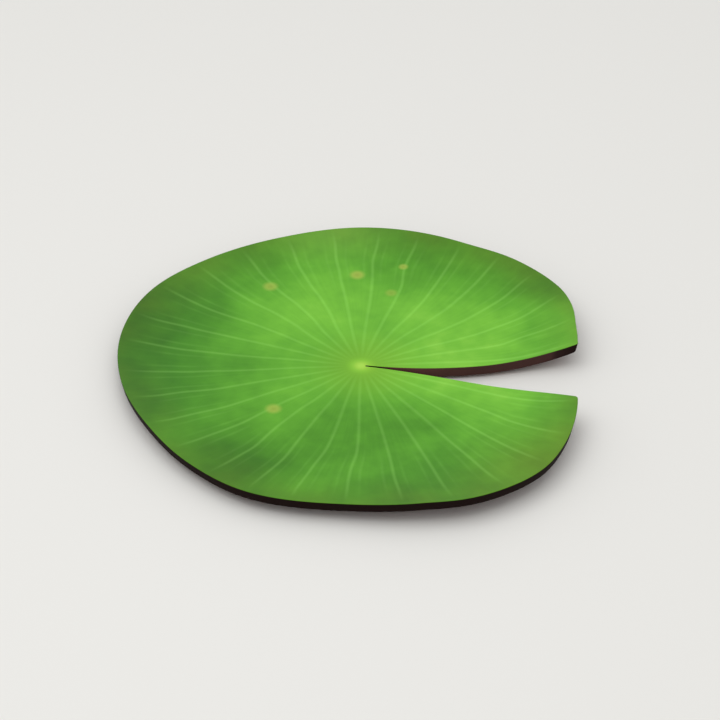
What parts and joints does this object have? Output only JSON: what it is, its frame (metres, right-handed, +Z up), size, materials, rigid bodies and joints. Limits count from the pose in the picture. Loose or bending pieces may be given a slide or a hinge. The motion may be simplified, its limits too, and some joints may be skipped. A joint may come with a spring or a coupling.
{
  "type": "water lily pad",
  "caption": "Round floating leaf with a narrow notch cut in to its stalk, a gently upturned rim, and ribs that fan out under the blade.",
  "frame": {"origin": "middle of the stalk's flat cut end, under the leaf, in the plane that the leaf rests on", "axes": "+Z up out of the leaf's upper face, +X out from the stalk along the middle of the notch"},
  "size_m": [0.2032, 0.2088, 0.013],
  "materials": {
    "leaf": "waxy green leaf, matte to satin, maroon underneath"
  },
  "bodies": {
    "root": {"lily_pad": "leaf"}
  },
  "joints": []
}
